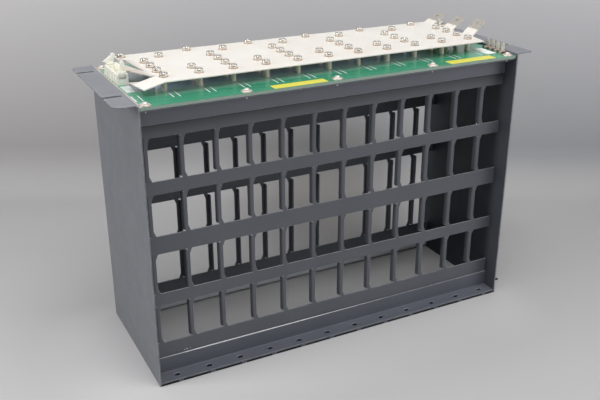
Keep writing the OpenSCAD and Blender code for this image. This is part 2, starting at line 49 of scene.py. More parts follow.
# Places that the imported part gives
RAIL_LOW, RAIL_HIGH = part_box("near_front_rail")
PLATE_LOW, PLATE_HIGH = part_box("left_side_plate")
PANEL_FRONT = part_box("near_guide_panel")[0].y
REAR_RAIL_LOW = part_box("near_rear_rail")[0].z
BOARD_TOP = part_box("backplane_board")[1].z
BUS_THICK = 1.0 * MM
BUS_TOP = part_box("thick_standoffs")[1].z + BUS_THICK
LEFT_IN = RAIL_LOW.x
NEAR, FAR = PLATE_LOW.y, PLATE_HIGH.y
RAIL_LEG = RAIL_HIGH.y
SLOTS = 12
PITCH = (RAIL_HIGH.x - RAIL_LOW.x) / SLOTS


# Helpers

# Kinds of node that recur, and the settings that a kind always has here
MIX, RANGE, NOISE = "ShaderNodeMix", "ShaderNodeMapRange", "ShaderNodeTexNoise"
MATH, VECTOR = "ShaderNodeMath", "ShaderNodeVectorMath"
SPLIT, JOIN = "ShaderNodeSeparateXYZ", "ShaderNodeCombineXYZ"
GEOMETRY, BUMP = "ShaderNodeNewGeometry", "ShaderNodeBump"
PRINCIPLED, OUTPUT = "ShaderNodeBsdfPrincipled", "ShaderNodeOutputMaterial"
ALWAYS = {MIX: {"data_type": "RGBA"}}


def linear(code):
    """Linear colour of an sRGB hex value."""
    parts = [int(code[i:i + 2], 16) / 255 for i in (1, 3, 5)]
    return [c / 12.92 if c <= 0.04045 else ((c + 0.055) / 1.055) ** 2.4 for c in parts] + [1.0]


def per_mm(size):
    """Texture scale at which one feature is about size millimetres wide."""
    return 1.0 / (size * MM)


def add(tree, kind, inputs=(), **settings):
    """Adds a node with its settings and links, and returns its first live output.

    The inputs are values or output sockets. A tuple fills the live inputs in order, a dict names them.
    """
    node = tree.nodes.new(kind)
    for key, value in {**ALWAYS.get(kind, {}), **settings}.items():
        setattr(node, key, value)
    if not isinstance(inputs, dict):
        live = [i for i, socket in enumerate(node.inputs) if socket.enabled]
        inputs = dict(zip(live, inputs))
    for key, value in inputs.items():
        if isinstance(value, bpy.types.NodeSocket):
            tree.links.new(value, node.inputs[key])
        else:
            node.inputs[key].default_value = value
    return next((socket for socket in node.outputs if socket.enabled), None)


def material(name):
    """An empty node material: itself, its tree and the Object coordinate."""
    mat = bpy.data.materials.new(name)
    mat.use_nodes = True
    tree = mat.node_tree
    tree.nodes.clear()
    return mat, tree, add(tree, "ShaderNodeTexCoord").node.outputs["Object"]


def shaded(mat, tree, **sockets):
    """Closes a material with a Principled shader that takes these values and links."""
    shader = add(tree, PRINCIPLED, {key.replace("_", " "): value for key, value in sockets.items()})
    add(tree, OUTPUT, {"Surface": shader})
    return mat


def patchy(tree, place, size, low=0.3, high=0.7, to_low=0.0, to_high=1.0, detail=2.0, rough=0.5):
    """Value that wanders from to_low to to_high in patches size millimetres wide, as a noise goes from low to high."""
    grain = add(tree, NOISE, (place, per_mm(size), detail, rough))
    return add(tree, RANGE, (grain, low, high, to_low, to_high))


def mottled(tree, place, size, tone, other, **spread):
    """Colour that wanders between two tones; spread as for patchy."""
    return add(tree, MIX, (patchy(tree, place, size, **spread), linear(tone), linear(other)))


def grained(tree, place, size, strength, depth, detail=2.0):
    """Normal of a skin whose grains are size millimetres wide and depth millimetres high."""
    grain = add(tree, NOISE, (place, per_mm(size), detail))
    return add(tree, BUMP, {"Height": grain, "Strength": strength, "Distance": depth * MM})


def overlap(tree, *spans):
    """Product of ramps; each span is a value, where its ramp starts and ends, and what it goes between."""
    share = 1.0
    for span in spans:
        share = add(tree, MATH, (add(tree, RANGE, span), share), operation="MULTIPLY")
    return share


# Finishes

WHOLE = {"low": 0.0, "high": 1.0}  # Spread of a mottle that follows the whole noise


def powder_coat(name, tone, light, chips, worn=0.0, inner_shade=None, rail_shadow_edge=None, top_dust_and_sheen=0.20, foot=None):
    """Satin powder coat on sheet steel: fine orange peel, handling marks, dust and a painted sheen on top, chips; worn
    pale at edges, which paints a highlight there too. It can also carry painted shade in the cage and under the rear
    rail, and painted light along a foot.
    """
    mat, tree, place = material(name)
    x, y, z = add(tree, SPLIT, (place,)).node.outputs
    normal = add(tree, GEOMETRY).node.outputs["Normal"]
    face_x, _, face_z = add(tree, SPLIT, (normal,)).node.outputs
    colour = mottled(tree, place, 70, tone, light, detail=3.0)
    if worn:
        # Pale worn edges, which also paint a highlight on them
        rubbed = patchy(tree, place, 9, low=0.38, high=0.62, to_high=worn, detail=4.0, rough=0.6)
        colour = add(tree, MIX, (rubbed, colour, linear("#a9a9ac")))
    if inner_shade:
        # Painted shade: the plates' inner faces, which look towards the middle of the cage, are dark, and painted paler
        # beside their near edge
        inward = add(tree, MATH, (x, face_x), operation="MULTIPLY")
        inner = add(tree, RANGE, (inward, -80 * MM, -120 * MM))
        near_edge = add(tree, RANGE, (y, NEAR + 26 * MM, NEAR + 14 * MM))
        painted_inner_tone = add(tree, MIX, (near_edge, linear(inner_shade), linear("#54575f")))
        colour = add(tree, MIX, (inner, colour, painted_inner_tone))
    if rail_shadow_edge:
        # Painted shadow under the rear rail's lower edge: a soft band, and a dark line in it
        for start, full, share in ((11, 3, 0.4), (2.2, 0.6, 0.75)):
            painted_rail_shadow = add(tree, RANGE, (z, rail_shadow_edge - start * MM, rail_shadow_edge - full * MM, 0.0, share))
            colour = add(tree, MIX, (painted_rail_shadow, colour, linear("#1d1f22")))
    if foot:
        # Painted light: paler along the lower edge
        lit_low_edge = add(tree, RANGE, (z, foot, foot - 5 * MM))
        colour = add(tree, MIX, (lit_low_edge, colour, linear("#b2b5bb")))
    # Dust, and a painted sheen: faces that look up are paler
    upward = add(tree, RANGE, (face_z, 0.6, 0.95))
    settled = patchy(tree, place, 30, to_low=0.6 * top_dust_and_sheen, to_high=top_dust_and_sheen, detail=3.0)
    dust_and_sheen = add(tree, MATH, (upward, settled), operation="MULTIPLY")
    colour = add(tree, MIX, (dust_and_sheen, colour, linear("#b6b6c0")))
    # One chip in each cell of about 26 mm; chips is its radius as a share of the cell
    cells = add(tree, "ShaderNodeTexVoronoi", {"Vector": place, "Scale": per_mm(26)})
    chip = add(tree, RANGE, (cells, chips, 0.6 * chips))
    # The peel is about 0.6 mm on the real sheet; drawn at 1.3 mm so that it shows
    return shaded(mat, tree, IOR=1.5,
                  Base_Color=add(tree, MIX, (chip, colour, linear("#b4b4b6"))),
                  Roughness=patchy(tree, place, 22, high=0.75, to_low=0.46, to_high=0.60, detail=4.0, rough=0.6),
                  Normal=grained(tree, place, 1.3, strength=0.10, depth=0.25))


def solder_mask():
    """Glossy green mask on a glass-fibre board, sunk tracks, a pale grey film under the bus bar whose tone is painted
    light that lifts the shade there, a painted reflection and shade along the left edge, a pale sawn edge.
    """
    mat, tree, place = material("solder_mask_green")
    x, y, z = add(tree, SPLIT, (place,)).node.outputs
    # Broad tracks about 10 mm apart; the texture runs through 20 radians in each unit of its scale
    track_step = 10.0275 * MM
    wave = add(tree, "ShaderNodeTexWave", {"Vector": place, "Scale": math.tau / (20 * track_step), "Distortion": 0.0},
               bands_direction="Y").node.outputs[1]
    tracks = add(tree, RANGE, (wave, 0.45, 0.6))
    paler = add(tree, MATH, (tracks, 0.16), operation="MULTIPLY")
    green = add(tree, MIX, (paler, mottled(tree, place, 35, "#369571", "#42a17d"), linear("#52ae8c")))
    # The film is painted light: pale, to lift the bus bar's shade. It starts in a soft line behind the near strokes and
    # ends before the far screws.
    # Beside the header it only fills the opening behind the tongue, and is darker there.
    near_line, far_line = (y, NEAR + 27 * MM, NEAR + 48 * MM), (y, NEAR + 142 * MM, NEAR + 130 * MM)
    right_end, left_end, open_end = (x, 150 * MM, 110 * MM), (x, -200 * MM, -180 * MM), (x, -210 * MM, -205 * MM)
    opening, beside_header = (y, NEAR + 52 * MM, NEAR + 58 * MM), (x, -182 * MM, -190 * MM)
    left = add(tree, MIX, [add(tree, RANGE, span) for span in (opening, left_end, open_end)], data_type="FLOAT")
    film = overlap(tree, near_line, far_line, right_end, (left, 0.0, 1.0))
    # Painted light: the film is paler green at its near side, where the bus bar's shade begins
    cold = add(tree, RANGE, (y, NEAR + 40 * MM, NEAR + 54 * MM))
    pale = add(tree, MIX, (cold, linear("#c4e6dc"), linear("#c0daf2")))
    slate = add(tree, MIX, (overlap(tree, beside_header, opening), pale, linear("#8a9299")))
    face = add(tree, MIX, (film, green, slate))
    # Painted reflection and shade of the side plate's bend: a beige-grey strip along the board's left edge
    bare = add(tree, RANGE, (x, -214.9 * MM, -215.5 * MM))
    face = add(tree, MIX, (bare, face, mottled(tree, place, 3.0, "#b3b0a6", "#c2bfb6", **WHOLE)))
    top = add(tree, RANGE, (z, BOARD_TOP - 0.3 * MM, BOARD_TOP - 0.1 * MM))
    sawn = mottled(tree, place, 0.9, "#7f9789", "#a2b3a8", **WHOLE)
    # The varnish is duller at the tabs' end
    return shaded(mat, tree, IOR=1.6, Coat_Roughness=0.14,
                  Base_Color=add(tree, MIX, (top, sawn, face)),
                  Roughness=add(tree, RANGE, (top, 0.0, 1.0, 0.6, 0.2)),
                  Coat_Weight=add(tree, RANGE, (x, 120 * MM, 185 * MM, 0.6, 0.15)),
                  Normal=add(tree, BUMP, {"Height": tracks, "Strength": 0.15, "Distance": 0.05 * MM}))


def film_white():
    """White polyester film laminated over copper: soft sheen, faint waves and a rubbed tan patch."""
    mat, tree, place = material("polyester_film_white")
    x, y, _ = add(tree, SPLIT, (place,)).node.outputs
    white = mottled(tree, place, 55, "#efece5", "#e9e3d9", high=0.75, detail=3.0)
    # Painted shade: the strip that runs to the header slopes down into shade, and is painted grey
    beside_header, from_near = (x, -184 * MM, -192 * MM), (y, NEAR + 55 * MM, NEAR + 59 * MM)
    to_far = (y, NEAR + 134 * MM, NEAR + 128 * MM, 0.0, 0.6)
    white = add(tree, MIX, (overlap(tree, beside_header, from_near, to_far), white, linear("#b9ab9b")))
    # The rubbed patch is an oval; its middle and its half sizes in millimetres
    rub_x, rub_y, half_x, half_y = 8.1, 7.2, 18, 4
    oval = add(tree, "ShaderNodeMapping", {"Vector": place, "Location": (-rub_x / half_x, -rub_y / half_y, 0.0),
                                           "Scale": (per_mm(half_x), per_mm(half_y), 0.0)})
    rub = add(tree, RANGE, (add(tree, VECTOR, (oval,), operation="LENGTH"), 1.0, 0.2, 0.0, 0.35))
    return shaded(mat, tree, IOR=1.55,
                  Base_Color=add(tree, MIX, (rub, white, linear("#d3b48e"))),
                  Roughness=patchy(tree, place, 15, to_low=0.34, to_high=0.46),
                  Normal=grained(tree, place, 38, strength=0.35, depth=0.8, detail=1.0))


def plated(name, tone, dull, low, high):
    """Plated or bare metal: a blurred mirror of one tone with duller flecks, roughness between low and high."""
    mat, tree, place = material(name)
    fleck = 2.5
    return shaded(mat, tree, Metallic=1.0,
                  Base_Color=mottled(tree, place, fleck, tone, dull, low=0.35, high=0.8, detail=3.0),
                  Roughness=patchy(tree, place, fleck, high=0.8, to_low=low, to_high=high, detail=3.0))


def nylon(name, tone, deep, through, reach):
    """Natural moulded nylon: milky, waxy, lets some light through, to a reach in millimetres."""
    mat, tree, place = material(name)
    return shaded(mat, tree, IOR=1.53, Roughness=0.38, Subsurface_Weight=through,
                  Subsurface_Radius=(1.0, 0.95, 0.85), Subsurface_Scale=reach * MM,
                  Base_Color=mottled(tree, place, 6, tone, deep),
                  Normal=grained(tree, place, 0.8, strength=0.06, depth=0.1))


def matt(name, tone, light, rough):
    """Matt, faintly mottled skin, as moulded phenolic and oxidised tin have, and a near-white one that paints a
    highlight on rubbed zinc: no mirror, a soft sheen.
    """
    mat, tree, place = material(name)
    return shaded(mat, tree, IOR=1.5, Roughness=rough,
                  Base_Color=mottled(tree, place, 3, tone, light, detail=3.0, **WHOLE),
                  Normal=grained(tree, place, 0.7, strength=0.12, depth=0.1))


def tab_plastic(name, tone, dull, gap_shade, first, pitch):
    """Tan moulded base with painted shade between its tabs, which stand pitch metres apart along Y."""
    mat, tree, place = material(name)
    along = add(tree, SPLIT, (place,)).node.outputs[1]
    # Share of a pitch from the nearest tab: 0 at a tab, 0.5 in the middle of a gap
    off = add(tree, MATH, (add(tree, RANGE, (along, first, first + pitch), clamp=False), 0.5), operation="PINGPONG")
    tan = mottled(tree, place, 3, tone, dull, detail=3.0, **WHOLE)
    return shaded(mat, tree, IOR=1.5, Roughness=0.5,
                  Base_Color=add(tree, MIX, (add(tree, RANGE, (off, 0.2, 0.34)), tan, linear(gap_shade))),
                  Normal=grained(tree, place, 0.7, strength=0.12, depth=0.1))


def printed(name, tone, worn, rough):
    """Ink or vinyl: a flat tone with a thin, patchy wear."""
    mat, tree, place = material(name)
    return shaded(mat, tree, IOR=1.48, Roughness=rough,
                  Base_Color=mottled(tree, place, 2.2, tone, worn, low=0.52, high=0.8, detail=4.0, rough=0.65))


# Painted steel: one grey paint, toned per part to paint in the light and shade each part gets: paler plates with
# painted shade within the cage, darker panels and rails, a darker far panel; cut edges rubbed pale, which also paints a
# highlight
PLATE_PAINT = powder_coat("powder_coat_grey", "#717379", "#77797f", 0.030, inner_shade="#2b2f38")
PANEL_PAINT = powder_coat("powder_coat_panel_toned_for_shade", "#595c63", "#5e6168", 0.018, rail_shadow_edge=REAR_RAIL_LOW)
FAR_PAINT = powder_coat("powder_coat_far_panel_toned_for_shade", "#51545b", "#565960", 0.018, rail_shadow_edge=REAR_RAIL_LOW, foot=15 * MM)
RAIL_PAINT = powder_coat("powder_coat_rail_toned_for_shade", "#5a5e67", "#5f636c", 0.018, top_dust_and_sheen=0.03)
REAR_PAINT = powder_coat("powder_coat_rear_rail_toned_for_light", "#6e727b", "#737780", 0.018)
EDGE_PAINT = powder_coat("powder_coat_worn_highlight_edge", "#74767c", "#7c7e84", 0.018, worn=0.8)
# The board and the bus bar
BOARD_MASK = solder_mask()
FILM = film_white()
# Metals: bright screws, softer board screws, warm pads, dull tabs and lugs, brown rings, a black stud
NICKEL = plated("nickel_plated_steel", "#dedad3", "#c6bfb5", 0.2, 0.3)
SATIN = plated("satin_zinc", "#f3eee9", "#ded5cd", 0.42, 0.56)
PAD_TIN = plated("tinned_copper_pad", "#e9d8cb", "#cfb09b", 0.4, 0.6)
BARE_STEEL = plated("bare_steel", "#dcdcde", "#c3c3c6", 0.42, 0.6)
TIN = plated("tinned_brass", "#e6e1d6", "#d2cbbb", 0.6, 0.75)
COPPER = plated("tarnished_copper", "#b98a62", "#8a5f42", 0.35, 0.55)
LUG_TIN = plated("tinned_copper", "#dfdad1", "#cbc2b2", 0.34, 0.5)
DARK_STEEL = plated("blackened_steel", "#3b3c40", "#28292c", 0.35, 0.5)
# Plastics, and two metals so dull that they look like them; the rubbed zinc edge is near white, a painted highlight
NYLON = nylon("natural_nylon", "#fbfaf0", "#f7f5e8", 0.15, 0.8)
LATCH_NYLON = nylon("cream_nylon", "#fdfae6", "#f9f4da", 0.8, 12)
PHENOLIC = matt("black_phenolic", "#1b1c1e", "#26272a", 0.5)
RUBBED_HIGHLIGHT_EDGE = matt("rubbed_zinc_highlight_edge", "#f6f6f6", "#e6e6e7", 0.35)
DULL_TIN = matt("oxidised_tin", "#f9e6da", "#e8d5c8", 0.5)
TAB_Y = [sum(corner.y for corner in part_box("power_tab_%d" % k)) / 2 for k in (1, 2)]
TAN_BASE = tab_plastic("tan_phenolic", "#c6b9ac", "#a8988a", "#57493f", TAB_Y[0], abs(TAB_Y[1] - TAB_Y[0]))
# Print and labels
INK = printed("white_print_ink", "#fbfdfb", "#d5e2da", 0.55)
BLOCK_INK = printed("white_block_ink", "#fdfdfa", "#f0f3ef", 0.5)
THIN_INK = printed("thin_block_ink", "#d2d7d4", "#c6ccc9", 0.5)
VINYL = printed("yellow_vinyl", "#e8df58", "#ddd34c", 0.35)

NODE_FINISH = {
    "left_side_plate": PLATE_PAINT, "right_side_plate": PLATE_PAINT, "side_stud": DARK_STEEL,
    "near_guide_panel": PANEL_PAINT, "far_guide_panel": FAR_PAINT,
    "near_front_rail": RAIL_PAINT, "far_front_rail": RAIL_PAINT,
    "near_rear_rail": REAR_PAINT, "far_rear_rail": REAR_PAINT,
    "backplane_board": BOARD_MASK, "bus_bar": FILM, "thin_standoffs": DULL_TIN, "thick_standoffs": DULL_TIN,
    "board_screws": NICKEL, "bus_screws": NICKEL, "power_header": NYLON,
    "near_latch": LATCH_NYLON, "far_latch": LATCH_NYLON, "tab_base": TAN_BASE,
}
for lug in ("near", "mid", "far"):
    NODE_FINISH["power_lug_" + lug] = LUG_TIN
for stem, count, finish in (("power_tab_%d", 4, TIN), ("slot_connector_%d", SLOTS, PHENOLIC)):
    for k in range(count):
        NODE_FINISH[stem % (k + 1)] = finish
for node_name, finish in NODE_FINISH.items():
    for place in NODES[node_name].material_slots:
        place.material = finish


# Pieces


def piece(name, mesh, finish=None):
    """Links a mesh as a finished piece that rides on the cage."""
    obj = bpy.data.objects.new(name, mesh)
    bpy.context.scene.collection.objects.link(obj)
    if finish:
        mesh.materials.clear()
        mesh.materials.append(finish)
    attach(obj, "root")
    return obj


def to_mesh(name, bm):
    """Plain mesh of a bmesh."""
    mesh = bpy.data.meshes.new(name)
    bm.to_mesh(mesh)
    bm.free()
    return mesh


def from_bmesh(name, bm):
    """Plain mesh of a bmesh, with its faces turned outwards."""
    bmesh.ops.remove_doubles(bm, verts=bm.verts, dist=1e-7)
    bmesh.ops.recalc_face_normals(bm, faces=bm.faces)
    return to_mesh(name, bm)


def evaluated(obj, name):
    """Plain mesh of an object with its modifiers done."""
    graph = bpy.context.evaluated_depsgraph_get()
    mesh = bpy.data.meshes.new_from_object(obj.evaluated_get(graph))
    mesh.name = name
    return mesh


def scratch(name, mesh):
    """An object for making a mesh, deleted again before the scene is done."""
    obj = bpy.data.objects.new(name, mesh)
    bpy.context.scene.collection.objects.link(obj)
    return obj


def lathe(profile, steps):
    """Closed turned shape from points (radius, height) in millimetres."""
    bm = bmesh.new()
    rings = []
    for radius, height in profile:
        turns = [math.tau * k / steps for k in range(steps if radius > 0 else 1)]
        rings.append([bm.verts.new((radius * MM * math.cos(a), radius * MM * math.sin(a), height * MM)) for a in turns])
    for a, b in zip(rings, rings[1:]):
        for k in range(steps):
            quad = [a[k % len(a)], a[(k + 1) % len(a)], b[(k + 1) % len(b)], b[k % len(b)]]
            bm.faces.new(list(dict.fromkeys(quad)))
    return bm


def cross_recess(mesh, top, width, length, depth):
    """Mesh of a screw with a cross recess cut from its top; sizes in millimetres."""
    narrow = 0.55  # Width at the recess's floor, as a share of that at its mouth
    above = 0.5    # How far the cutter stands out of the head
    bm = bmesh.new()
    for size in ((width, length), (length, width)):
        for v in bmesh.ops.create_cube(bm, size=1.0)["verts"]:
            taper = narrow if v.co.z < 0 else 1.0
            height = top + (v.co.z - 0.5) * depth + above
            v.co = Vector((v.co.x * size[0] * taper, v.co.y * size[1] * taper, height)) * MM
    cutter = scratch("recess", from_bmesh("recess", bm))
    body = scratch("screw", mesh)
    cut = body.modifiers.new("recess", "BOOLEAN")
    cut.operation = "DIFFERENCE"
    cut.solver = "EXACT"
    cut.use_self = True
    cut.object = cutter
    made = evaluated(body, "screw")
    for obj in (cutter, body):
        bpy.data.objects.remove(obj)
    return made


def smooth(mesh, degrees):
    """Smooth shading with edges sharper than the angle kept."""
    mesh.polygons.foreach_set("use_smooth", [True] * len(mesh.polygons))
    mesh.set_sharp_from_angle(angle=math.radians(degrees))
    return mesh


def group(name, **sockets):
    """An empty Geometry Nodes tree and its inputs; sockets are their names and kinds."""
    tree = bpy.data.node_groups.new(name, "GeometryNodeTree")
    for label, kind in sockets.items():
        tree.interface.new_socket(label, in_out="INPUT", socket_type="NodeSocket" + kind)
    tree.interface.new_socket("Geometry", in_out="OUTPUT", socket_type="NodeSocketGeometry")
    return tree, add(tree, "NodeGroupInput").node.outputs


def on_points(tree, finish, **inputs):
    """Ends a tree with a part on each point, realized and given its finish."""
    put = add(tree, "GeometryNodeInstanceOnPoints", inputs)
    real = add(tree, "GeometryNodeRealizeInstances", (put,))
    done = add(tree, "GeometryNodeSetMaterial", {"Geometry": real, "Material": finish})
    add(tree, "NodeGroupOutput", (done,))
    return tree


def scatter_tree():
    """Geometry Nodes: one part on each point, turned at random about Z."""
    tree, given = group("part_on_points", Geometry="Geometry", Part="Object", Turn="Float", Seed="Int",
                        Finish="Material")
    part = add(tree, "GeometryNodeObjectInfo", {"Object": given["Part"]}).node.outputs["Geometry"]
    # Input 3 is the upper end of the random number
    turn = add(tree, "FunctionNodeRandomValue", {3: given["Turn"], "Seed": given["Seed"]}, data_type="FLOAT")
    spin = add(tree, JOIN, {"Z": turn})
    return on_points(tree, given["Finish"], Points=given["Geometry"], Instance=part, Rotation=spin)


def stroke_tree():
    """Geometry Nodes: a row of printed strokes, each a thin bar."""
    tree, given = group("stroke_row", Count="Int", Start="Vector", Step="Vector", Size="Vector", Finish="Material")
    row = add(tree, "GeometryNodeMeshLine", {
        "Count": given["Count"], "Start Location": given["Start"], "Offset": given["Step"]})
    bar = add(tree, "GeometryNodeMeshCube", {"Size": given["Size"]})
    return on_points(tree, given["Finish"], Points=row, Instance=bar)


SCATTER = scatter_tree()
STROKES = stroke_tree()


def grown(name, mesh, tree, **values):
    """Mesh that a Geometry Nodes tree makes of another with these inputs."""
    carrier = scratch(name, mesh)
    mod = carrier.modifiers.new(tree.name, "NODES")
    mod.node_group = tree
    for item in tree.interface.items_tree:
        if item.in_out == "INPUT" and item.name in values:
            mod[item.identifier] = values[item.name]
    made = evaluated(carrier, name)
    bpy.data.objects.remove(carrier)
    return made


def scattered(name, part, points, finish, turn, seed):
    """Mesh of a part repeated on points, each turned by up to turn radians."""
    mesh = bpy.data.meshes.new(name + "_points")
    mesh.from_pydata(points, [], [])
    shape = scratch(name + "_part", part)
    made = grown(name, mesh, SCATTER, Part=shape, Turn=turn, Seed=seed, Finish=finish)
    bpy.data.objects.remove(shape)
    return made


def joined(name, meshes):
    """One mesh of several."""
    bm = bmesh.new()
    for mesh in meshes:
        bm.from_mesh(mesh)
    mesh = to_mesh(name, bm)
    mesh.materials.append(meshes[0].materials[0])
    return mesh


# Sheet pieces: the imported shape with its cut edges rounded and rubbed pale, which also paints a highlight on them


def softened(node_name, width):
    """Stands for a CAD node: its own shape and paint with rounded, worn edges that also carry a painted highlight,
    width in millimetres.
    """
    name = node_name + "_sheet"
    bm = bmesh.new()
    bm.from_mesh(NODES[node_name].data)
    bmesh.ops.remove_doubles(bm, verts=bm.verts, dist=1e-6)
    bmesh.ops.dissolve_limit(bm, angle_limit=math.radians(0.5), verts=bm.verts, edges=bm.edges)
    mesh = to_mesh(name, bm)
    for finish in (NODE_FINISH[node_name], EDGE_PAINT):
        mesh.materials.append(finish)
    sheet = scratch(name, mesh)
    soft = sheet.modifiers.new("rounded_edges", "BEVEL")
    soft.width = width * MM
    soft.segments = 2
    soft.limit_method = "ANGLE"
    soft.angle_limit = math.radians(35)
    soft.use_clamp_overlap = False
    soft.harden_normals = True
    soft.material = 1
    made = evaluated(sheet, name)
    bpy.data.objects.remove(sheet)
    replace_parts(piece(name, made), node_name)


for side in ("left", "right"):
    softened(side + "_side_plate", 0.4)
for side in ("near", "far"):
    softened(side + "_guide_panel", 0.3)
    softened(side + "_front_rail", 0.4)
    softened(side + "_rear_rail", 0.4)


# Screws of the bus bar: pan heads on bare copper rings. Profiles are (radius, height) in millimetres.

SHARP = 35  # Degrees from which an edge of a screw stays sharp


def bus_points():
    """Places of the bus bar's screws, as in the part's source."""
    points = []
    # Columns of four and two by turns, between the slots
    for i in range(SLOTS - 1):
        for j in range(4 if i % 2 == 0 else 2):
            points.append((LEFT_IN + 40 * MM + i * PITCH, NEAR + (49.5 + 20.8 * j) * MM, BUS_TOP))
    # A staggered row along the far edge
    for i in range(SLOTS):
        points.append((LEFT_IN + 25.2 * MM + i * PITCH, FAR - (24 + 14.5 * (i % 2)) * MM, BUS_TOP))
    return points


PAN_HEAD = [(0, -7), (1.75, -7), (1.75, 0), (4.25, 0), (4.3, 0.2), (4.3, 3.1), (4.22, 3.5), (4.0, 3.8),
            (3.6, 3.97), (2.6, 4.06), (0, 4.1)]
head = cross_recess(from_bmesh("pan_head", lathe(PAN_HEAD, 32)), top=4.1, width=0.8, length=3.6, depth=1.1)
heads = scattered("bus_screw_heads", smooth(head, SHARP), bus_points(), NICKEL, math.tau, 5)
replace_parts(piece("bus_screw_heads", heads), "bus_screws")
RING = [(2.0, 0), (4.75, 0), (4.75, 0.25), (2.0, 0.25), (2.0, 0)]
ring = from_bmesh("copper_ring", lathe(RING, 28))
piece("copper_rings", scattered("copper_rings", ring, bus_points(), COPPER, 0.0, 1))

# Screws of the board: a washer, a lock ring and a pan head, with the bright tip under the rail

BOARD_SCREW = [(0, -7.8), (0.5, -7.8), (0.9, -7.2), (0.9, 0), (4.9, 0), (5.0, 0.12), (5.0, 0.68), (4.9, 0.8),
               (3.1, 0.8), (3.1, 1.15), (2.6, 1.15), (2.75, 1.2), (2.8, 1.4), (2.75, 2.1), (2.3, 2.65),
               (1.3, 2.95), (0, 3.0)]
SCREW_END, SCREW_QUARTER, SCREW_MIDDLE = LEFT_IN + 7.5 * MM, LEFT_IN + 109.1 * MM, -8.5 * MM
SCREW_ROW = 8.6 * MM
board_points = [(x, y, BOARD_TOP) for x in (SCREW_END, SCREW_QUARTER, SCREW_MIDDLE, -SCREW_QUARTER, -SCREW_END)
                for y in (NEAR + SCREW_ROW, FAR - SCREW_ROW)]
head = cross_recess(from_bmesh("board_screw", lathe(BOARD_SCREW, 28)), top=3.0, width=0.7, length=3.0, depth=1.4)
heads = scattered("board_screw_heads", smooth(head, SHARP), board_points, SATIN, math.tau, 9)
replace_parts(piece("board_screw_heads", heads), "board_screws")
PAD = [(1.6, 0), (6.0, 0), (6.0, 0.06), (1.6, 0.06), (1.6, 0)]
pad = from_bmesh("board_pad", lathe(PAD, 28))
piece("board_pads", scattered("board_pads", pad, board_points, PAD_TIN, 0.0, 1))

# White print on the board: two strokes beside each slot, and two blank patches. Bare labels.

INK_T, VINYL_T = 0.05, 0.15  # Thickness in millimetres
STROKE_NEAR, STROKE_FAR = NEAR + 21.3 * MM, NEAR + 41 * MM
STROKE_SIZE = (1.0 * MM, STROKE_FAR - STROKE_NEAR, INK_T * MM)
rows = []
for stroke_x in (-214.4, -207.9):
    start = (stroke_x * MM, (STROKE_NEAR + STROKE_FAR) / 2, BOARD_TOP + INK_T * MM / 2)
    rows.append(grown("slot_strokes", bpy.data.meshes.new("slot_strokes"), STROKES, Count=SLOTS, Start=start,
                      Step=(PITCH, 0, 0), Size=STROKE_SIZE, Finish=INK))
piece("slot_strokes", joined("slot_strokes", rows))


def flat_sheet(name, x0, x1, y0, y1, thick, corner, finish):
    """Thin sheet with rounded corners on the board; millimetres, x from the middle and y from the near side."""
    bm = bmesh.new()
    outline = []
    for cx, cy, start in ((x1 - corner, y1 - corner, 0), (x0 + corner, y1 - corner, 90),
                          (x0 + corner, y0 + corner, 180), (x1 - corner, y0 + corner, 270)):
        for k in range(5):
            a = math.radians(start + 22.5 * k)
            outline.append((cx + corner * math.cos(a), cy + corner * math.sin(a)))
    face = bm.faces.new([bm.verts.new((x * MM, NEAR + y * MM, BOARD_TOP)) for x, y in outline])
    for v in bmesh.ops.extrude_face_region(bm, geom=[face])["geom"]:
        if isinstance(v, bmesh.types.BMVert):
            v.co.z += thick * MM
    piece(name, from_bmesh(name, bm), finish)


flat_sheet("left_patch", -214, -205, 55, 79, INK_T, 0.4, THIN_INK)
flat_sheet("right_patch", 194, 206, 22, 48.6, INK_T, 0.4, BLOCK_INK)
flat_sheet("left_label", -81.5, -22, 2.5, 14.5, VINYL_T, 0.8, VINYL)
flat_sheet("right_label", 130, 190.5, 2.8, 16, VINYL_T, 0.8, VINYL)


# Wear: bare metal on the near front rail's top edge, drawn near white as a painted highlight, and flakes off the lips
# and the panel


def ring_faces(bm, a, b):
    """Faces between two rings of vertices."""
    for k in range(len(a)):
        after = (k + 1) % len(a)
        bm.faces.new((a[k], a[after], b[after], b[k]))


def bare_highlight_edge(name, x0, x1, y0, y1, z):
    """Thin bare strip over an edge that looks up, where it paints a highlight, widest about a third of the way along;
    sizes in metres.
    """
    draw = random.Random(7)
    bm = bmesh.new()
    count = 110
    least = 0.04
    skin = 0.04 * MM
    rows = []
    for k in range(count + 1):
        t = k / count
        # Grows fast, dies away slowly, and is ragged
        share = max(least, min(1.0, 5 * t, 1.6 * (1 - t)) * draw.uniform(0.7, 1.0))
        width = (y1 - y0) * share
        drop = 0.7 * MM * share
        turn = 0.4 * MM * share
        x = x0 + (x1 - x0) * t
        rows.append([bm.verts.new((x, y, z + h)) for y, h in (
            (y0, -drop), (y0 + width, 0.0), (y0 + width, skin), (y0 + turn, skin),
            (y0 - skin, -turn), (y0 - skin, -drop))])
    for a, b in zip(rows, rows[1:]):
        ring_faces(bm, a, b)
    bm.faces.new(rows[0])
    bm.faces.new(rows[-1])
    piece(name, from_bmesh(name, bm), RUBBED_HIGHLIGHT_EDGE)


bare_highlight_edge("rail_edge_wear", -214 * MM, 70 * MM, PANEL_FRONT - 2.0 * MM, PANEL_FRONT - 0.7 * MM, RAIL_HIGH.z)

